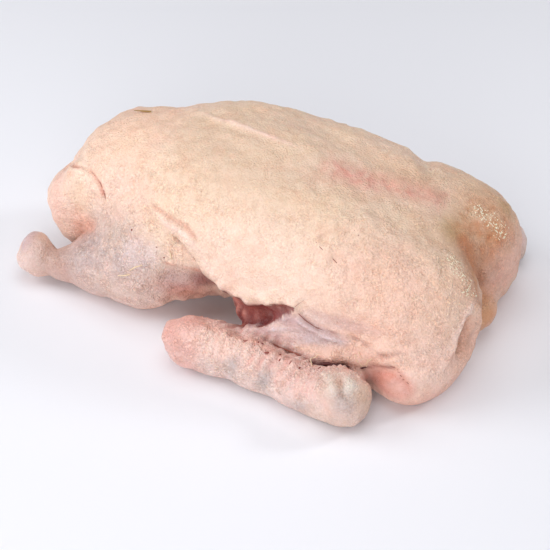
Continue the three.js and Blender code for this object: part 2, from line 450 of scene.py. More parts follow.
FLANK_LIP = [
    (-30, -83, 96), (-14, -85, 79), (-2, -88, 68), (8, -92, 60), (31, -96, 54), (53, -100, 61),
    (69, -101, 66),
]
LIP_SCALLOPS = 9  # waves along the flank's lip
THIGH_BAND = [
    (-62, -73, 101), (-54, -77, 99), (-43, -81, 94), (-32, -83, 92), (-22, -86, 89),
    (-14, -87, 81), (-9, -87, 72),
]
WEB_FOLD = [
    (75, -102, 67), (81, -101, 59), (90, -101, 55), (97, -100, 54), (110, -101, 55),
    (119, -99, 54), (131, -100, 52), (140, -101, 49), (146, -103, 49), (152, -101, 51),
    (158, -98, 53), (168, -94, 54),
]
WEB_KNOT = (71, -100, 67)  # where the wing's web is pinned to the flank
WEB_CURL = [(139, -104, 49), (143, -104, 48), (147, -105, 45)]
WRIST_VALLEY = [(122, -131, 46), (126, -137, 45), (129, -142, 42), (132, -148, 37)]
ANKLE_CUT = ((-180, -77, 30), (-0.85, 0.05, 0.5), 11.0)  # middle, facing and radius
QUILL_ROW = [
    (-11, -119, 43), (0, -122, 43), (12, -122, 43), (24, -121, 42), (38, -120, 41), (54, -121, 41),
    (64, -124, 40), (74, -125, 40), (84, -127, 40), (95, -122, 39),
]
BARE_MEAT = (
    [(40, -98, 50), (48, -99, 58), (56, -99, 62), (64, -100, 64), (72, -102, 67)],
    [(42, -100, 46), (49, -101, 52), (56, -101, 57), (62, -101, 60), (69, -102, 65)],
    [(42, -103, 43), (49, -103, 48), (56, -102, 53), (62, -102, 57)],
    [(40, -95, 41), (46, -96, 44), (51, -97, 49), (54, -98, 54), (54, -98, 60)],
)
WEB_FOLDS = (
    [(60, -108, 39), (73, -105, 43), (84, -103, 47), (95, -102, 50), (105, -103, 51),
     (114, -103, 54)],
    [(70, -110, 37), (76, -108, 39), (83, -106, 42), (92, -103, 47), (98, -102, 50)],
    [(74, -102, 60), (80, -102, 55), (91, -102, 52), (103, -103, 51), (116, -103, 51)],
    [(52, -106, 43), (60, -105, 46), (70, -103, 49), (80, -102, 52)],
)
UNDER_WRIST = [
    (33, -108, 38), (45, -109, 39), (56, -111, 38), (65, -111, 36), (78, -112, 36), (90, -115, 36),
    (99, -116, 36), (109, -116, 38), (120, -113, 38), (129, -109, 36), (134, -106, 34),
]


def ring(at, facing, radius, count=12):
    """A closed round line that faces a given way."""
    facing = Vector(facing).normalized()
    side = facing.orthogonal().normalized()
    other = facing.cross(side)
    return [Vector(at) + radius * (math.cos(turn) * side + math.sin(turn) * other)
            for turn in np.linspace(0, 2 * math.pi, count + 1)]


def crease(points, path, width, depth):
    """A fold line pressed in, with the skin puffed up a little on both sides."""
    return depth * (0.4 * stroke(points, path, 2.6 * width) - 1.3 * stroke(points, path, width))


def ridge(points, path, width, height):
    return height * stroke(points, path, width)


def unevenness(points):
    """Soft lumps of fat and muscle under the skin, and its smaller wrinkles."""
    lumps = 1.3 * bumps(points, 44, 1) + 0.8 * bumps(points, 21, 2)
    wrinkles = 0.8 * bumps(points * (1, 1, 1.4), 9, 3) + 0.6 * bumps(points, 5.5, 4)
    return lumps + wrinkles


def worm_wrinkles(points):
    """Short winding wrinkles, deepest on the near side of the breast."""
    coarse = 1 - 2.4 * np.abs(bumps(points, 9, 5))
    narrow = 1 - 2.4 * np.abs(bumps(points, 6, 15))
    where = patch(points, (112, -64, 114), (46, 26, 22), 0.7)
    return coarse * (0.2 + 0.6 * where) + 0.8 * narrow * where


def tail_relief(points):
    over = [(-168, -14, 80), (-160, -28, 88), (-149, -42, 95), (-141, -42, 98), (-131, -46, 98),
            (-123, -51, 97), (-117, -55, 95), (-113, -59, 92), (-110, -62, 86)]
    down = [(-146, -54, 92), (-142, -55, 77), (-140, -56, 66), (-134, -57, 54)]
    tip = patch(points, (-128, -62, 50), (22, 22, 16))
    belly = patch(points, (-100, -58, 92), (28, 18, 26))
    dent = patch(points, (-160, -29, 87), (7, 8, 6))
    return (0.8 * belly * streaks(points, (-0.2, 0.5, 0.8), 4.5, 17)
            + crease(points, over, 1.5, 2.4) - 1.6 * dent
            + crease(points, down, 3.5, 0.8) + tip * 1.4 * bumps(points, 6, 6))


def flank_relief(near):
    """Folded band of skin between breast and thigh, and the edges of the skin below it."""
    above = [(-74, -68, 100), (-60, -73, 103), (-48, -78, 101), (-38, -79, 99), (-29, -79, 97),
             (-21, -80, 94), (-15, -84, 88)]
    below = [(-44, -80, 85), (-36, -80, 82), (-29, -81, 79), (-21, -83, 72), (-15, -83, 64),
             (-12, -80, 56)]
    fine = [(-79, -67, 93), (-63, -74, 92), (-52, -79, 87)]
    torn = [(-50, -87, 64), (-36, -85, 62), (-26, -83, 61), (-16, -80, 57)]
    gap, passed, _ = beside(near, FLANK_LIP)
    turn = 2 * math.pi * (LIP_SCALLOPS * passed + 0.6 * bumps(near, 16, 7))
    scallops = np.sin(turn) * np.exp(-(gap / 5) ** 2) * ramp(0.25, 0.5, passed)
    bare = patch(near, (-29, -86, 44), (25, 16, 17), 0.25)
    pocket = patch(near, (30, -86, 38), (34, 14, 13))
    return (crease(near, above, 1.7, 1.1) + 1.8 * stroke(near, THIGH_BAND, 5.0, 0.4)
            + crease(near, below, 1.8, 3.4) + crease(near, fine, 1.6, 1.0)
            + ridge(near, torn, 2.2, 1.2) - 1.2 * bare + 1.3 * scallops
            + 0.9 * bare * bumps(near * (1, 1, 0.5), 7, 8)
            + 1.1 * pocket * streaks(near, (1, 0.4, -0.7), 5, 18))


def leg_relief(near):
    at, facing, radius = ANKLE_CUT
    rim = stroke(near, ring(at, facing, radius), 3.5, 0.001)
    face = patch(near, at, (radius - 3,) * 3)
    neck = [(-158, -72, 35), (-150, -76, 34), (-141, -80, 36)]
    ragged = patch(near, (-34, -76, 26), (44, 24, 14))
    return (1.3 * rim - 1.6 * face - 1.8 * stroke(near, neck, 6)
            + ragged * 2.6 * bumps(near, 6, 9))


def keel_relief(points):
    """Edge of the breastbone under the skin, a thin raised line with a dip beside it."""
    line = [(-72, 18, 134), (-55, 9, 141), (-41, 1, 145), (-7, -6, 147), (21, -6, 144),
            (40, -6, 141)]
    beside_it = [(x, y - 6, z - 0.5) for x, y, z in line[1:]]
    return stroke(points, line, 2.2, 0.4) * 1.5 - 0.9 * stroke(points, beside_it, 3.5, 0.4)


def bare_meat(points):
    """1 where meat shows between the flank's lip and the web of the wing."""
    whole = sum(stroke(points, line, 3.0, 0.05) for line in BARE_MEAT)
    return ramp(0.3, 0.6, whole)


def web_relief(points):
    """Thin skin drawn tight from the flank, in folds that run out from where it is pinned."""
    drawn_to = [(98, -99, 60), (122, -99, 52), (112, -103, 50), (98, -104, 49), (80, -107, 42),
                (58, -104, 44), (62, -98, 76), (74, -98, 78), (88, -98, 74)]
    folds = sum(ridge(points, [WEB_KNOT, end], 1.6, 1.0) for end in drawn_to)
    gathered = [(184, -80, 59), (186, -76, 67), (183, -84, 74), (172, -92, 78), (178, -92, 50),
                (175, -97, 40), (160, -100, 66)]
    gathers = sum(crease(points, [(143, -104, 49), end], 1.7, 0.8) for end in gathered)
    drawn = patch(points, (92, -104, 52), (44, 8, 16)) * bumps(points * (0.5, 1, 1), 4.5, 16)
    pulled = patch(points, (168, -92, 54), (34, 24, 28)) * streaks(points, (44, 33, 19), 4.2, 19)
    drawn_tight = sum(ridge(points, fold, 1.5, 1.2) for fold in WEB_FOLDS)
    return (0.8 * pulled + folds + gathers + drawn_tight + crease(points, WEB_FOLD, 1.7, 2.2)
            + crease(points, WEB_CURL, 1.5, 1.2) + 0.6 * drawn - 2.4 * bare_meat(points))


def shoulder_relief(points):
    seam = [(134, -106, 37), (146, -106, 41), (157, -105, 43), (161, -106, 40), (165, -107, 34),
            (171, -108, 26)]
    inner = patch(points, (151, -109, 31), (17, 8, 9))
    lobe = [(194, -50, 82), (193, -54, 75), (192, -63, 69), (191, -69, 62), (190, -74, 54),
            (188, -80, 45), (184, -86, 38)]
    hollow = [(196, -55, 70), (194, -62, 62), (193, -67, 53), (194, -67, 44), (194, -68, 36)]
    rim = [(195, -45, 76), (198, -46, 60), (198, -49, 46), (196, -58, 34), (192, -66, 26)]
    return (crease(points, seam, 1.6, 1.2) - 1.5 * inner + inner * 0.8 * bumps(points, 6, 10)
            + ridge(points, lobe, 3.0, 2.4) - 5.6 * stroke(points, hollow, 4.2)
            + ridge(points, rim, 3.2, 2.2))


def arm_ribs(points, passed, knots, seed):
    """Wavering ribs across the forearm, one for each row of quills."""
    along = passed * length(knots[-1, :3] - knots[0, :3])
    waver = 3.0 * bumps(points, 11, seed)
    return np.sin(2 * math.pi * along / 5.5 + waver) * (0.55 + 0.45 * bumps(points, 9, seed + 3))


def forearm_relief(points, joints, seed):
    """Lumps along the forearm and ridges down from its top edge."""
    knots = np.array(joints)
    gap, passed, away = beside(points, knots[:, :3])
    on_arm = 1 - ramp(24, 29, gap)
    upper = ramp(3, 15, away[:, 2]) * on_arm
    ribs = arm_ribs(points, passed, knots, seed)
    lumps = (1.4 * bumps(points, 19, seed + 1) + 1.1 * bumps(points, 8, seed + 2)
             + 0.7 * bumps(points, 4.5, seed + 4))
    return on_arm * lumps * 0.9 + 1.2 * ribs * upper


def wing_relief(points):
    row = stroke(points, QUILL_ROW, 4.5, 0.05)
    tendons = ([(111, -133, 44), (117, -138, 45), (122, -143, 43), (126, -148, 39)],
               [(133, -129, 46), (134, -137, 44), (136, -143, 40)])
    elbow = patch(points, (-23, -124, 30), (8, 10, 8))
    slit = [(94, -116, 36), (102, -117, 37), (112, -115, 38), (124, -111, 37)]
    waist = patch(points, (104, -150, 20), (7, 10, 12))
    waist += 0.6 * patch(points, (22, -141, 16), (9, 8, 12))
    return (row * (1.3 + 2.2 * bumps(points, 5, 14)) + 2.6 * elbow - 2.4 * waist
            + sum(ridge(points, line, 3.6, 1.1) for line in tendons)
            - 2.0 * stroke(points, WRIST_VALLEY, 2.4)
            + crease(points, UNDER_WRIST, 1.9, 2.8) - 3.0 * stroke(points, slit, 2.6))


def relief(points):
    near, far = near_side(points), flipped(points)
    shift = SIDES_DIFFER * drift(points, 30, (11, 12, 13))
    sided = np.where(points[:, 1:2] > 0, near + shift, near)
    total = (unevenness(points) + worm_wrinkles(points) + tail_relief(points)
             + flank_relief(sided) + leg_relief(sided) + keel_relief(points)
             + web_relief(points) + shoulder_relief(points) + wing_relief(points)
             + forearm_relief(points, NEAR_FOREARM, 20) + forearm_relief(far, FAR_FOREARM, 30))
    return total * ramp(FLATTENED, FLATTENED + 12, points[:, 2])


# ---- colour of the skin

def linear(red, green, blue):
    """A colour as a photo shows it, 0 to 255, as linear light."""
    return np.array([((c / 255 + 0.055) / 1.055) ** 2.4 for c in (red, green, blue)])


CREAM = linear(242, 214, 194)
TAN = linear(214, 185, 162)
PEACH = linear(246, 215, 199)
WARM_PEACH = linear(236, 194, 170)
PALE_PINK = linear(250, 220, 208)
ROSE = linear(237, 189, 174)
ROSE_GREY = linear(226, 197, 190)
SOFT_PINK = linear(234, 176, 166)
FLESH_PINK = linear(222, 146, 132)
REDDISH = linear(206, 132, 112)
DARK_RED = linear(132, 62, 52)
PURPLE = linear(188, 170, 170)
LAVENDER = linear(202, 176, 181)
LAVENDER_WHITE = linear(232, 214, 218)
GREY_BLUE = linear(182, 172, 172)
BEIGE_GREY = linear(214, 190, 176)
FAR_TAN = linear(218, 177, 144)
SHANK_GREY = linear(190, 158, 148)
WING_TIP_GREY = linear(168, 146, 138)
SHOULDER_RED = linear(217, 149, 134)
ARM_ROSE = linear(228, 204, 198)
RIB_PINK = linear(228, 160, 150)
HOLLOW_BROWN = linear(206, 162, 142)
TAIL_TIP = linear(236, 175, 150)
ROLL_SKIN = linear(224, 182, 166)
SINEW = linear(240, 236, 228)
MEMBRANE = linear(194, 162, 159)
MEAT = linear(120, 30, 26)
FAT_YELLOW = linear(244, 212, 164)
FAT_ORANGE = linear(214, 140, 64)
OLIVE = linear(188, 152, 98)
BROWN = linear(168, 102, 66)
GROOVE_ORANGE = linear(196, 118, 64)
SHAFT = linear(232, 206, 172)
PIT_BROWN = linear(138, 62, 50)
# painted shade, dark red, for the threads in the wing's slit
SLIT_SHADE_RED = linear(84, 30, 28)
# painted shade, brown, for the threads in folds
FOLD_SHADE_BROWN = linear(152, 84, 68)
PIN_YELLOW = linear(160, 124, 66)
# painted glint: water beads coloured brighter than white to stand for the shine of wet skin
WATER_PAINTED_GLINT = linear(255, 236, 200) * 1.2


def skin_tint(points, normals):
    """Colour of every place on the skin, with painted highlights and painted shade in places,
    before the material's own mottling.
    """
    near, far = near_side(points), flipped(points)
    along, height = points[:, 0], points[:, 2]
    cloud, fleck = cloudy(points, 26, 40), cloudy(points, 8, 41)
    tint = np.tile(CREAM, (len(points), 1))

    def paint(mask, colour, strength=1.0):
        nonlocal tint
        share = np.clip(mask * strength, 0, 1)[:, None]
        tint = tint + share * (colour - tint)

    def spot(at, radii, colour, strength=1.0, soft=0.5, where=points):
        paint(patch(where, at, radii, soft), colour, strength)

    def line(path, width, colour, strength=1.0, where=points):
        paint(stroke(where, path, width), colour, strength)

    # the whole body
    crest = ramp(108, 142, height) * ramp(-100, -50, along)
    paint(crest * ramp(16, -16, points[:, 1]), TAN, 0.65)
    paint(crest * ramp(-16, 16, points[:, 1]), TAN, 0.2)
    paint(ramp(-40, -110, along), PEACH, 0.7)
    paint(ramp(-50, -100, along) * ramp(96, 118, height), WARM_PEACH, 0.4)
    paint(ramp(90, 40, height) * ramp(40, 110, along), ROSE, 0.6)
    paint(ramp(100, 150, along) * ramp(90, 118, height), TAN, 0.5)
    spot((134, -76, 88), (48, 30, 34), ROSE, 0.6, 0.8)
    spot((40, -88, 84), (56, 16, 26), PALE_PINK, 0.45, 0.8)
    paint(ramp(132, 172, along) * ramp(-50, -20, points[:, 1]), FAR_TAN, 0.65)
    spot((108, 22, 121), (26, 18, 14), FAR_TAN, 0.5, 0.8)
    paint(ramp(30, 8, height), ROSE, 0.6)
    paint(cloud * ramp(60, 110, height), FAT_YELLOW, 0.2)

    # tail and belly
    spot((-88, -66, 96), (28, 16, 18), SOFT_PINK, 0.15, where=near)
    spot((-126, -66, 47), (19, 20, 16), TAIL_TIP, 0.9)
    spot((-146, -54, 54), (12, 14, 14), SOFT_PINK, 0.25, 0.8)
    # painted shade along the crease over the tail
    line([(-165, -20, 84), (-149, -42, 95), (-131, -47, 99), (-117, -56, 95), (-110, -62, 86)],
         1.3, REDDISH, 0.9)
    spot((-136, -54, 76), (9, 12, 14), FAT_YELLOW, 0.2)
    spot((-160, -40, 66), (10, 20, 24), SOFT_PINK, 0.4)
    line([(-115, -66, 76), (-118, -70, 62), (-119, -78, 52)], 2.2, REDDISH, 0.6)

    # legs, and the torn edges below the flank
    spot((-98, -92, 48), (46, 34, 38), PURPLE, 0.9, 0.6, near)
    spot((-136, -86, 26), (24, 20, 14), ROSE_GREY, 0.8, 0.7, near)
    spot((-66, -98, 30), (40, 24, 18), ROSE_GREY, 0.7, 0.7, near)
    spot((-66, -90, 66), (18, 12, 12), LAVENDER_WHITE, 0.45, where=near)
    spot((-172, -86, 28), (13, 14, 14), ARM_ROSE, 0.9, where=near)
    spot((-178, -76, 36), (9, 13, 8), LAVENDER, 0.8, where=near)
    spot((-142, -78, 28), (26, 24, 20), SHANK_GREY, 0.85, 0.7, near)
    spot((-120, -84, 42), (18, 14, 16), PURPLE, 0.5, 0.8, near)
    spot((-96, -82, 70), (16, 14, 10), BEIGE_GREY, 0.5, 0.8, near)
    spot((-84, -98, 30), (24, 12, 12), BEIGE_GREY, 0.5, 0.8, near)
    paint(patch(near, (-92, -94, 58), (36, 24, 24), 0.8) * cloudy(near, 4, 46) ** 2,
          PALE_PINK, 0.6)
    # painted highlight along the crest of the raised band over the thigh
    paint(stroke(near, THIGH_BAND, 4.5, 0.4), PALE_PINK, 0.85)
    line([(-66, -71, 102), (-52, -76, 103), (-38, -79, 99), (-29, -79, 97), (-17, -83, 90)],
         2.0, REDDISH, 0.5, near)
    # painted shade in the deep crease under the flank's fold
    line([(-40, -80, 83), (-30, -81, 80), (-21, -83, 72), (-15, -83, 64), (-12, -80, 56)],
         1.5, DARK_RED, 0.8, near)
    frayed = near + 3 * drift(near, 8, (43, 44, 45))
    spot((-30, -86, 46), (20, 14, 15), MEMBRANE, 0.8, 0.5, frayed)
    spot((-24, -84, 34), (20, 12, 10), FLESH_PINK, 0.5, 0.7, frayed)
    spot((-10, -80, 50), (12, 13, 14), MEAT, 0.8, 0.6, frayed)
    line([(-46, -87, 64), (-33, -86, 62), (-24, -83, 61), (-15, -80, 58)], 1.5, REDDISH, 0.7, near)
    spot((-26, -72, 26), (30, 14, 9), REDDISH, 0.7, 0.8, frayed)
    line([(-14, -87, 78), (-2, -90, 68), (8, -94, 60), (31, -98, 55), (53, -102, 61)],
         2.6, PALE_PINK, 0.6, near)
    hollow = 1 - ramp(0.5, 5, under_flank(near))
    paint(hollow * ramp(60, 54, height), MEAT, 0.95)
    spot((30, -84, 36), (34, 14, 13), MEAT, 1.0, 0.3, near)
    grain = 0.5 + 0.5 * streaks(near, (1, 0.4, -0.7), 5, 18)
    paint(patch(near, (22, -84, 36), (26, 14, 14)) * grain ** 2, FLESH_PINK, 0.9)

    # the near wing's web, with bare meat above it
    web_of_skin = web(points, ((38, -105, 34), (66, -97, 57), (112, -97, 46)), 4)
    paint(1 - ramp(1, 6, web_of_skin), LAVENDER, 0.85)
    spot((50, -107, 41), (20, 8, 6), FLESH_PINK, 0.3)
    spot((64, -103, 47), (12, 7, 6), PALE_PINK, 0.6, 0.8)
    spot((97, -103, 47), (12, 6, 6), PURPLE, 0.6, 0.8)
    spot((40, -106, 40), (10, 6, 7), MEMBRANE, 0.7, 0.8)
    # painted light on each web fold: purple shade just below it and a pale highlight on its crest
    for fold in WEB_FOLDS:
        line([(x, y, z - 2) for x, y, z in fold], 1.8, PURPLE, 0.6)
        line(fold, 1.1, LAVENDER_WHITE, 0.7)
    line([(37, -108, 40), (46, -105, 44), (56, -104, 51), (64, -102, 58), (70, -102, 65)], 1.1,
         PALE_PINK, 0.7)
    paint(bare_meat(points) * (0.75 + 0.25 * grain), MEAT)
    # painted shade under the flank's lip, along the top of the bare meat
    line([(46, -99, 60), (56, -99, 64), (66, -101, 67), (74, -102, 68)], 1.5, DARK_RED, 0.8)
    # painted shade in the web's main crease
    line(WEB_FOLD, 1.3, DARK_RED, 0.45)
    # painted highlights on the folds that run out from where the web is pinned
    for end in ((98, -99, 60), (88, -98, 74), (110, -99, 60)):
        line([(78, -101, 66), end], 1.3, PALE_PINK, 0.5)
    spot((104, -98, 64), (30, 8, 6), LAVENDER, 0.4)
    roll = limb(points, [(88, -110, 36, 6), (108, -110, 40, 7), (134, -103, 44, 7)])
    paint(1 - ramp(-1, 4, roll), ROLL_SKIN, 0.5)

    # inside of the near shoulder, and the far wing's tip
    spot((154, -109, 30), (19, 9, 12), SHOULDER_RED, 0.9, 0.4)
    # painted highlight on the glossy inner shoulder
    spot((158, -109, 28), (7, 5, 5), PALE_PINK, 0.35, 0.9)
    # painted shade: dark red under the end of the skin roll and along the seam, lighter toward its
    # far end
    spot((138, -107, 31), (7, 7, 9), MEAT, 0.25, 0.7)
    line([(130, -108, 35), (138, -106, 38), (146, -106, 41), (157, -105, 43)], 1.5, DARK_RED, 0.7)
    line([(154, -105, 43), (161, -106, 40), (165, -107, 34), (171, -108, 26)], 1.5, REDDISH, 0.5)
    line(WEB_CURL, 1.2, REDDISH, 0.7)
    # painted light: paler low on the near lobe, where the lamps leave it dark
    spot((178, -92, 42), (18, 14, 18), PALE_PINK, 0.6, 0.8)
    spot((188, 102, 28), (15, 12, 15), WING_TIP_GREY, 0.8, 0.8)
    spot((164, 102, 26), (24, 9, 11), SOFT_PINK, 0.7, 0.4)

    # forearms and wrist
    for place, joints in ((points, NEAR_FOREARM), (far, FAR_FOREARM)):
        knots = np.array(joints)
        gap, passed, away = beside(place, knots[:, :3])
        arm = 1 - ramp(21, 25, gap)
        paint(arm, ARM_ROSE, 0.9)
        ribbed = 0.5 - 0.5 * arm_ribs(place, passed, knots, 20)
        upper = arm * ramp(1, 15, away[:, 2])
        paint(upper * ribbed * (0.5 + 0.5 * fleck), RIB_PINK, 0.9)
        paint(upper * (1 - ribbed) * fleck, PALE_PINK, 0.6)
        paint(arm * ramp(0.6, 0.9, passed) * ramp(8, -4, away[:, 2]), BEIGE_GREY, 0.7)
        paint(arm * ramp(0.24, 0.04, passed), RIB_PINK, 0.45)
    line(QUILL_ROW, 3.0, REDDISH, 0.4)
    # painted highlight along the lit top of the forearm
    spot((26, -131, 38), (24, 9, 7), PALE_PINK, 0.6, 0.8)
    smudged = points + 4 * drift(points, 9, (48, 49, 50))
    for at, radii, strength in (((37, -138, 27), (6, 8, 11), 1), ((66, -141, 24), (7, 8, 13), 1),
                                ((94, -148, 18), (10, 8, 5), 0.9)):
        paint(patch(smudged, at, radii, 0.9) * (0.35 + 0.65 * fleck), GREY_BLUE, strength)
    spot((128, -140, 40), (17, 16, 16), BEIGE_GREY, 0.75)
    line(WRIST_VALLEY, 1.8, BROWN, 0.4)
    spot((133, -148, 35), (8, 7, 8), GREY_BLUE, 0.6, 0.8)
    spot((144, -131, 32), (7, 11, 13), TAN, 0.7, 0.8)
    line([(108, -129, 43), (112, -134, 44), (120, -142, 44), (126, -149, 38)], 3.0, SINEW, 0.5)
    spot((134, -137, 43), (5.5, 6, 5), SINEW, 0.65, 0.9)
    # painted shade in the crease under the wrist and in the slit above it
    line(UNDER_WRIST, 2.0, DARK_RED, 0.65)
    line([(92, -116, 36), (102, -117, 37), (112, -115, 38), (124, -111, 37)], 2.6, DARK_RED, 0.9)

    # front lobes and the fat in their fold
    spot((182, 0, 64), (18, 20, 36), BROWN, 0.4, 0.8)
    line([(163, 3, 99), (170, -3, 91), (176, -7, 83), (181, -6, 72), (183, 1, 60), (185, 4, 46),
          (190, 0, 34)], 6.0, GROOVE_ORANGE, 0.7)
    line([(164, -2, 100), (174, -14, 92), (184, -30, 84), (193, -41, 74), (194, -36, 56)],
         6.0, BROWN, 0.5)
    line([(181, -22, 84), (192, -40, 74), (194, -34, 56)], 3.5, FAT_ORANGE, 0.5)
    spot((192, -4, 28), (12, 12, 12), FAT_ORANGE, 0.45, 0.8)
    spot((188, 2, 46), (7, 7, 12), OLIVE, 0.3, 0.8)
    spot((190, 34, 78), (9, 10, 10), GROOVE_ORANGE, 0.5, 0.8)
    spot((186, -44, 86), (13, 13, 16), GROOVE_ORANGE, 0.3, 0.9)
    spot((159, -6, 103), (11, 10, 8), OLIVE, 0.6, 0.9)
    spot((163, 8, 101), (9, 9, 8), OLIVE, 0.3, 0.8)
    paint(patch(points, (178, 22, 88), (22, 30, 24), 0.8) * cloudy(points, 5, 42),
          GROOVE_ORANGE, 0.95)
    spot((183, 57, 90), (8, 7, 8), OLIVE, 0.5, 0.8)
    spot((193, 33, 71), (7, 7, 6), OLIVE, 0.55, 0.8)
    spot((186, 30, 84), (9, 9, 8), FAT_ORANGE, 0.3, 0.9)
    spot((196, 36, 52), (20, 30, 26), ROSE, 0.7, 0.7)
    spot((197, -63, 52), (8, 10, 20), HOLLOW_BROWN, 0.9, 0.7)
    # painted highlight along the crest of the near lobe's fold
    line([(193, -50, 79), (193, -56, 74), (191, -64, 69), (189, -71, 62), (188, -76, 54),
          (186, -82, 45)], 3.0, PALE_PINK, 0.9)

    # the red streak along the breastbone
    rubbed = cloudy(points, 3.2, 51)
    keel_line = [(50, -9, 139), (64, -10, 135), (72, -8, 133), (83, -6, 129), (91, -4, 127),
                 (101, 1, 124), (112, 5, 122), (125, 10, 118), (142, 14, 113), (150, 15, 109)]
    paint(stroke(points, keel_line, 16) * (0.3 + 0.7 * cloud), SOFT_PINK, 0.5)
    paint(stroke(points, keel_line, 10) * rubbed ** 1.5 * (0.3 + 0.7 * fleck), FLESH_PINK, 1.4)
    # painted highlight along the ridge of the breastbone
    paint(stroke(points, [(-66, 14, 137), (-41, 1, 145), (-7, -6, 147), (21, -6, 144),
                          (40, -6, 141)], 2.0, 0.4), PALE_PINK, 0.8)
    paint((1 - np.abs(normals[:, 2])) * fleck, ROSE, 0.12)
    return tint


def coarseness(points):
    """How coarse and speckled the skin is: finest on the breast, coarsest on the limbs."""
    near = near_side(points)
    total = 0.4 - 0.14 * ramp(118, 138, points[:, 2])
    for share, where, at, radii, soft in (
        (0.5, near, (-92, -92, 52), (56, 40, 44), 0.6),
        (0.5, near, (70, -128, 24), (100, 22, 28), 0.3),
        (0.18, near, (126, -60, 104), (54, 40, 34), 0.7),
        (0.15, near, (156, -90, 50), (50, 30, 44), 0.6),
        (0.4, points, (184, 0, 76), (24, 90, 50), 0.6),
        (0.25, near, (-62, -68, 100), (54, 30, 34), 0.7),
        (0.2, points, (-148, -40, 66), (34, 34, 44), 0.7),
        (-0.5, points, (154, -108, 30), (22, 12, 12), 0.5),
    ):
        total += share * patch(where, at, radii, soft)
    return np.clip(total, 0.1, 1)


def wetness(points):
    """Where the skin is wettest and shines most."""
    return np.clip(
        stroke(points, [(160, -30, 104), (168, -35, 101), (179, -41, 95), (189, -48, 84),
                        (192, -52, 74)], 9)
        + stroke(points, [(158, 28, 104), (164, 29, 102), (177, 31, 94), (189, 31, 81),
                          (193, 32, 72)], 9)
        + 0.7 * patch(points, (156, -108, 30), (20, 10, 10))
        + 0.5 * patch(points, (98, -104, 50), (34, 9, 14))
        + 0.5 * patch(points, (-24, -86, 48), (26, 14, 16))
        + 0.2 * patch(points, (128, -142, 42), (14, 12, 10)), 0, 1)


# ---- the whole skin

def build_skin():
    vertices, quads = skin_net(sampled(goose))
    normals = slope_of(goose, vertices)
    steepness = np.maximum(length(normals), 0.3)
    fit = np.clip(goose(vertices) / steepness, -CELL / 2, CELL / 2)
    normals = normals / length(normals)[:, None]
    vertices = vertices - normals * fit[:, None]
    tint = skin_tint(vertices, normals)
    marks = {"wet": wetness(vertices), "coarse": coarseness(vertices)}
    vertices = vertices + normals * relief(vertices)[:, None]
    vertices[:, 2] = np.maximum(vertices[:, 2], FLATTENED)
    return vertices, normals, quads, tint, marks


# ---- scene pieces

def placed(name, data):
    made = bpy.data.objects.new(name, data)
    bpy.context.scene.collection.objects.link(made)
    return made


def add_piece(name, mesh, material):
    """A visible piece on the bird."""
    mesh.materials.append(material)
    piece = placed(name, mesh)
    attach(piece, "root")
    return piece


def quad_mesh(name, vertices, quads):
    mesh = bpy.data.meshes.new(name)
    mesh.vertices.add(len(vertices))
    mesh.vertices.foreach_set("co", vertices.ravel())
    mesh.loops.add(quads.size)
    mesh.loops.foreach_set("vertex_index", quads.ravel().astype(np.int32))
    mesh.polygons.add(len(quads))
    mesh.polygons.foreach_set("loop_start", np.arange(0, quads.size, 4, dtype=np.int32))
    mesh.update(calc_edges=True)
    mesh.validate()
    return mesh


def smooth_shaded(mesh):
    mesh.polygons.foreach_set("use_smooth", np.ones(len(mesh.polygons), bool))


# ---- materials

def feed(node, inputs):
    """Set a node's inputs, by name or number: another node's output is linked, a value is set."""
    for name, value in inputs.items():
        if isinstance(value, bpy.types.NodeSocket):
            node.id_data.links.new(value, node.inputs[name])
        else:
            node.inputs[name].default_value = value


def new_material(name):
    """A material, its shader, and a function that adds a node and gives the node's output."""
    material = bpy.data.materials.new(name)
    material.use_nodes = True
    nodes = material.node_tree.nodes

    def node(kind, output, inputs, **settings):
        made = nodes.new("ShaderNode" + kind)
        for setting, value in settings.items():
            setattr(made, setting, value)
        feed(made, inputs)
        return made.outputs[output]

    return material, nodes["Principled BSDF"], node


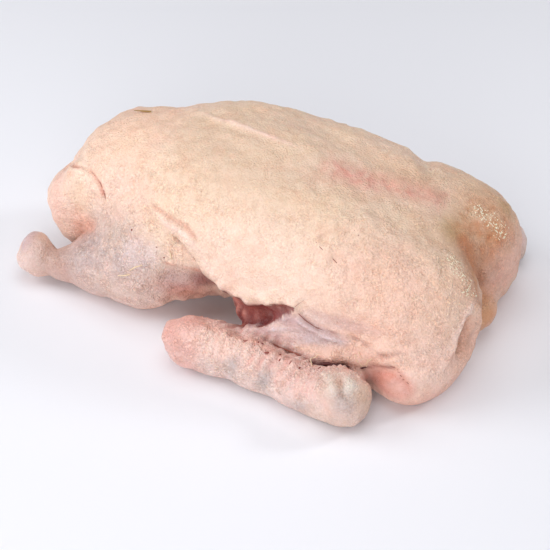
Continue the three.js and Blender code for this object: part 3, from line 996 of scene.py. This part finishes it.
def skin_material():
    """Moist skin: mottled tint, raised feather follicles, and wet places that shine."""
    material, shader, node = new_material("goose_skin")
    place = node("TexCoord", "Object", {})

    def attribute(name, output="Fac"):
        return node("Attribute", output, {}, attribute_name=name)

    def noise(size, detail=1.0, distortion=0.0):
        return node("TexNoise", "Fac", {"Vector": place, "Scale": 1 / (size * MM),
                                        "Detail": detail, "Distortion": distortion})

    def spread(source, low, high, from_low=0.0, from_high=1.0):
        return node("MapRange", "Result", {"Value": source, "To Min": low, "To Max": high,
                                           "From Min": from_low, "From Max": from_high})

    def product(first, second):
        return node("Math", 0, {0: first, 1: second}, operation="MULTIPLY")

    def weighed_sum(first, weight, second):
        return node("Math", 0, {0: first, 1: weight, 2: second}, operation="MULTIPLY_ADD")

    fine = noise(1.3)
    coarse = product(attribute("coarse"), spread(noise(12, 3.0), 0.5, 1.4, 0.35, 0.65))
    follicle = spread(node("TexVoronoi", "Distance", {
        "Vector": place, "Scale": 1 / (2.3 * MM), "Smoothness": 0.4,
    }, feature="SMOOTH_F1"), 1, 0, 0.1, 0.5)
    wrinkle = spread(noise(3.2, distortion=1.2), 0, 1, 0.35, 0.6)

    blotches = spread(noise(17, 3.0), 0, 0.7, 0.5, 0.75)
    patches = spread(noise(6.5, 2.0), 0.9, 0, 0.35, 0.55)
    lines = product(spread(wrinkle, 0.8, 0), coarse)
    pores = product(spread(fine, 1, 0, 0.38, 0.5), spread(coarse, 0.35, 1.0))
    clots = product(spread(noise(2.4), 1, 0, 0.36, 0.48), spread(coarse, 0.2, 0.9))
    pimples = product(follicle, coarse)
    down = product(spread(noise(1.7), 0, 1, 0.52, 0.64), coarse)
    colour = attribute("tint", "Color")
    for share, tone in (
        (blotches, (0.98, 0.88, 0.85)), (patches, (0.95, 0.92, 0.89)),
        (lines, (0.94, 0.88, 0.85)), (pores, (0.9, 0.84, 0.79)), (clots, (0.94, 0.88, 0.86)),
        (pimples, (1.12, 1.13, 1.08)), (down, (1.22, 1.24, 1.22)),
    ):
        colour = node("Mix", 2, {0: share, 6: colour, 7: (*tone, 1)},
                      data_type="RGBA", blend_type="MULTIPLY")

    dry_roughness, wet_roughness = spread(fine, 0.38, 0.6, 0.3, 0.7), 0.13
    height = weighed_sum(wrinkle, 0.6, weighed_sum(follicle, 0.4, fine))
    feed(shader, {
        "Base Color": colour,
        "Roughness": node("Mix", 0, {0: attribute("wet"), 2: dry_roughness, 3: wet_roughness},
                          data_type="FLOAT"),
        "Normal": node("Bump", 0, {"Distance": 1.1 * MM, "Height": height,
                                   "Strength": spread(coarse, 0.2, 1.0)}),
        "Subsurface Weight": 0.12,
        "Subsurface Radius": (1.0, 0.4, 0.25),
        "Subsurface Scale": 2 * MM,
        "Specular IOR Level": 0.5,
    })
    return material


def plain_material(name, colour, roughness=0.4):
    """Horn, dried blood, painted shade for slits and folds, and water beads brighter than white as
    painted glints, a little lighter and darker from place to place.
    """
    material, shader, node = new_material(name)
    grain = node("TexNoise", "Fac", {"Scale": 1 / (1.5 * MM)})
    darker, lighter = colour * 0.8, np.minimum(colour * 1.2, 1)
    feed(shader, {
        "Base Color": node("Mix", 2, {0: grain, 6: (*darker, 1), 7: (*lighter, 1)},
                           data_type="RGBA"),
        "Roughness": roughness,
    })
    return material


# ---- small pieces on the skin

def on_skin(place, lift, vertices, normals):
    """The place moved onto the skin and lifted off it."""
    nearest = np.argmin(length(vertices - place))
    out = normals[nearest]
    return place + out * ((vertices[nearest] - place) @ out + lift)


def add_threads(name, threads, colour, skin, origin):
    """Thin round threads, each a list of places with their radii and lifts off the skin."""
    curve = bpy.data.curves.new(name, "CURVE")
    curve.dimensions = "3D"
    curve.bevel_depth = MM
    curve.bevel_resolution = 2
    curve.use_fill_caps = True
    for places, radii, lifts in threads:
        spline = curve.splines.new("POLY")
        spline.points.add(len(places) - 1)
        for knot, place, radius, lift in zip(spline.points, places, radii, lifts):
            at = (on_skin(np.array(place), lift, *skin) - origin) * MM
            knot.co = (*at, 1)
            knot.radius = radius
    drawn = bpy.data.objects.new(name + "_line", curve)
    mesh = bpy.data.meshes.new_from_object(drawn)
    bpy.data.objects.remove(drawn)
    add_piece(name, mesh, plain_material(name, colour))


def add_moisture_painted_glints(vertices, normals, origin):
    """Small beads of moisture on the wettest skin of the two front lobes, coloured brighter than
    white as painted glints.
    """
    random = np.random.default_rng(60)
    bands = ([(166, -34, 102), (173, -37, 98), (180, -42, 94), (187, -47, 87), (190, -50, 80)],
             [(163, 29, 102), (171, 30, 98), (177, 31, 94), (184, 32, 88), (190, 31, 80)])
    mesh = bmesh.new()
    for band in bands:
        chance = stroke(vertices, band, BEAD_BAND, 0.05) ** 2
        for nearest in random.choice(len(vertices), BEADS, p=chance / chance.sum()):
            radius = random.uniform(*BEAD_RADIUS)
            turn = Vector(normals[nearest]).to_track_quat("Z", "Y").to_matrix()
            turn = turn @ Matrix.Rotation(random.uniform(0, math.pi), 3, "Z")
            shape = Matrix.Diagonal((radius * random.uniform(1, 2), radius, radius * 0.5))
            at = vertices[nearest] + random.normal(0, CELL / 3, 3) * (1, 1, 0.2) - origin
            place = Matrix.Translation(at * MM) @ (turn @ shape * MM).to_4x4()
            bmesh.ops.create_icosphere(mesh, subdivisions=2, radius=1, matrix=place)
    made = bpy.data.meshes.new("moisture_beads_painted_glint")
    mesh.to_mesh(made)
    mesh.free()
    smooth_shaded(made)
    add_piece("moisture_beads_painted_glint", made, plain_material("moisture_painted_glint", WATER_PAINTED_GLINT, roughness=0.2))


def short_mark(at, direction, long, radius):
    """A short spindle, half sunk in the skin."""
    way = direction / np.linalg.norm(direction) * long / 2
    return [at - way, at, at + way], (radius * 0.3, radius, radius * 0.3), (-0.2, 0.1, -0.2)


def add_feather_remains_and_fold_shade(skin, origin):
    """Broken shafts, down and empty feather pits left in the skin after plucking, and dark threads
    in slits and folds as painted shade.
    """
    out_of_skin = (0.1, 0.6, 0.3)
    shafts = [
        ([(-70, -97, 54), (-66, -95, 57), (-61, -93, 59)], (0.4, 0.6, 0.3), out_of_skin),
        ([(-79, -100, 48), (-74, -99, 49), (-69, -98, 51)], (0.4, 0.6, 0.3), out_of_skin),
        ([(-42, -83, 74), (-40, -84, 71), (-39, -85, 67)], (0.3, 0.6, 0.4), out_of_skin),
        ([(97, -123, 38), (93, -118, 37), (96, -113, 37), (99, -111, 40)],
         (0.4, 0.4, 0.35, 0.2), (0.3, 2.2, 2.4, 2.2)),
    ]
    for start_and_end in (
        [(126, -104, 47), (129, -106, 44)], [(129, -106, 44), (134, -106, 37)],
        [(126, -108, 42), (131, -107, 37)], [(124, -106, 45), (130, -108, 38)],
        [(134, -105, 44), (134, -106, 38)], [(137, -104, 45), (132, -107, 39)],
    ):
        shafts.append((start_and_end, (0.28, 0.15), (0.4, 0.8)))
    add_threads("quill_shafts", shafts, SHAFT, skin, origin)

    upright, level = (0.2, 0.5, 0.8), (0.9, 0.35, -0.1)
    pits = [short_mark(*mark) for mark in (
        ((41, -121, 41), level, 4, 0.9), ((52, -121, 42), upright, 3, 0.8),
        ((55, -120, 42), level, 3, 0.6), ((62, -126, 40), level, 5, 1.0),
        ((71, -123, 39), upright, 4, 0.9), ((73, -128, 38), upright, 3.5, 0.8),
        ((82, -129, 39), upright, 4.5, 0.9), ((90, -130, 38), upright, 4, 0.7),
        ((96, -121, 37), upright, 5, 0.9), ((104, -125, 40), level, 3, 0.5),
        ((154, -105, 43), level, 5, 0.3), ((157, -105, 42), (1, 0.2, -0.5), 3, 0.3),
        ((160, -106, 41), level, 4, 0.3), ((161, -107, 39), (1, 0, -0.8), 2.5, 0.3),
        ((164, -107, 36), level, 4.5, 0.3), ((167, -107, 34), (1, 0.2, -0.9), 3, 0.3),
        ((-77, -78, 78), level, 1.4, 1.0), ((-45, -86, 67), level, 1.4, 0.7),
        ((-52, -85, 74), level, 1.4, 0.5), ((101, -58, 119), level, 1.4, 0.4),
        ((105, -60, 117), level, 1.4, 0.4),
    )]
    pits.append(([(78, -75, 113), (82, -77, 111), (94, -80, 106), (105, -83, 100)],
                 (0.2, 0.3, 0.3, 0.1), (-0.15, -0.1, -0.1, -0.15)))
    add_threads("feather_pits", pits, PIT_BROWN, skin, origin)

    # painted shade: dark red threads down the slit along the wing, for the shadow inside it
    slits = [
        ([(92, -116, 36), (98, -117, 37), (106, -116, 38), (114, -115, 38), (121, -112, 37),
          (127, -110, 36)], (0.3, 1.2, 1.6, 1.5, 1.1, 0.4), (-0.4, -0.9, -1.1, -1.0, -0.8, -0.3)),
        ([(127, -110, 36), (131, -108, 36), (135, -106, 37)], (0.5, 1.0, 0.3), (-0.4,) * 3),
    ]
    add_threads("deep_slit_shade", slits, SLIT_SHADE_RED, skin, origin)
    # painted shade: brown threads along the deepest folds, for the shadow in them
    folds = [
        ([(56, -111, 38), (65, -111, 36), (78, -112, 36), (90, -115, 36)],
         (0.2, 0.6, 0.7, 0.4), (-0.4,) * 4),
        ([(-35, -80, 82), (-28, -82, 78), (-21, -83, 72), (-16, -83, 65), (-11, -84, 58)],
         (0.1, 0.45, 0.55, 0.6, 0.3), (-0.2,) * 5),
        ([(71, -102, 67), (76, -102, 65), (81, -101, 59), (90, -101, 55), (97, -100, 54)],
         (0.1, 0.25, 0.3, 0.2, 0.1), (-0.1,) * 5),
        ([(72, -102, 68), (75, -101, 72), (79, -100, 76)], (0.2, 0.12, 0.06), (-0.05,) * 3),
        ([(-129, -47, 98), (-123, -51, 97), (-119, -54, 96), (-113, -59, 92), (-110, -62, 87)],
         (0.1, 0.15, 0.3, 0.3, 0.1), (-0.15,) * 5),
    ]
    add_threads("fold_line_shade", folds, FOLD_SHADE_BROWN, skin, origin)

    pin = ([(-106, 12, 126), (-112, 10, 127), (-119, 7, 127)], (0.9, 0.7, 0.3), (0.2, 1.2, 2.6))
    add_threads("pin_feather", [pin], PIN_YELLOW, skin, origin)


def add_goose():
    vertices, normals, quads, tint, marks = build_skin()
    low, high = vertices.min(0), vertices.max(0)
    origin = np.array([(low[0] + high[0]) / 2, (low[1] + high[1]) / 2, low[2]])
    mesh = quad_mesh("goose_skin", (vertices - origin) * MM, quads)
    smooth_shaded(mesh)
    colours = mesh.color_attributes.new("tint", "FLOAT_COLOR", "POINT")
    colours.data.foreach_set("color", np.hstack([tint, np.ones((len(tint), 1))]).ravel())
    for name, values in marks.items():
        mark = mesh.attributes.new(name, "FLOAT", "POINT")
        mark.data.foreach_set("value", values)
    piece = add_piece("goose_skin", mesh, skin_material())
    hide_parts("goose")
    add_feather_remains_and_fold_shade((vertices, normals), origin)
    add_moisture_painted_glints(vertices, normals, origin)
    return origin


# ---- stage, light and camera

TABLE_SIZE = 6.0  # metres, like all lengths of the stage
TABLE_COLOUR = (0.885, 0.885, 0.925, 1)
LAMP_COLOUR = (0.985, 0.99, 1.01)
LAMPS = (  # name, place, side, watts
    ("window", (-1.4, -0.6, 1.0), 1.2, 18),
    ("front", (0.4, -1.7, 0.6), 1.2, 18),
    ("ceiling", (0, 0, 1.7), 1.5, 13),
    ("back_window", (1.2, 0.9, 1.0), 0.35, 8),
)
SKY_COLOUR, SKY_STRENGTH = (0.95, 0.97, 1.0, 1), 0.12
VIEW_AZIMUTH, VIEW_ELEVATION = math.radians(25), math.radians(38)
VIEW_AIM = np.array([36, -57, 56])  # mm on the bird, in the middle of the picture
VIEW_DISTANCE = 1300  # mm
FOCAL_LENGTH, SENSOR_WIDTH = 110, 36


def turned_to(way):
    """The rotation of a lamp or camera that looks back along a way from the goose."""
    return Vector(way).to_track_quat("Z", "Y").to_euler()


def add_table():
    bpy.ops.mesh.primitive_plane_add(size=TABLE_SIZE, location=(0, 0, 0))
    table = bpy.context.object
    table.name = "table"
    material, shader, _ = new_material("white_table")
    feed(shader, {"Base Color": TABLE_COLOUR, "Roughness": 0.6})
    table.data.materials.append(material)


def add_studio():
    world = bpy.data.worlds.new("studio")
    world.use_nodes = True
    feed(world.node_tree.nodes["Background"], {"Color": SKY_COLOUR, "Strength": SKY_STRENGTH})
    bpy.context.scene.world = world
    for name, place, side, watts in LAMPS:
        light = bpy.data.lights.new(name, "AREA")
        light.shape = "SQUARE"
        light.size = side
        light.energy = watts
        light.color = LAMP_COLOUR
        lamp = placed(name, light)
        lamp.location = place
        lamp.rotation_euler = turned_to(place)


def add_camera(origin):
    """Seen from the neck end's near side, looking down on the breast."""
    back = np.array([math.sin(VIEW_AZIMUTH) * math.cos(VIEW_ELEVATION),
                     -math.cos(VIEW_AZIMUTH) * math.cos(VIEW_ELEVATION),
                     math.sin(VIEW_ELEVATION)])
    camera = bpy.data.cameras.new("camera")
    camera.lens = FOCAL_LENGTH
    camera.sensor_width = SENSOR_WIDTH
    camera.clip_end = 20
    seen_from = placed("camera", camera)
    seen_from.location = (VIEW_AIM + back * VIEW_DISTANCE - origin) * MM
    seen_from.rotation_euler = turned_to(back)
    bpy.context.scene.camera = seen_from


origin = add_goose()
add_table()
add_studio()
add_camera(origin)
bpy.context.scene.view_settings.view_transform = "Standard"
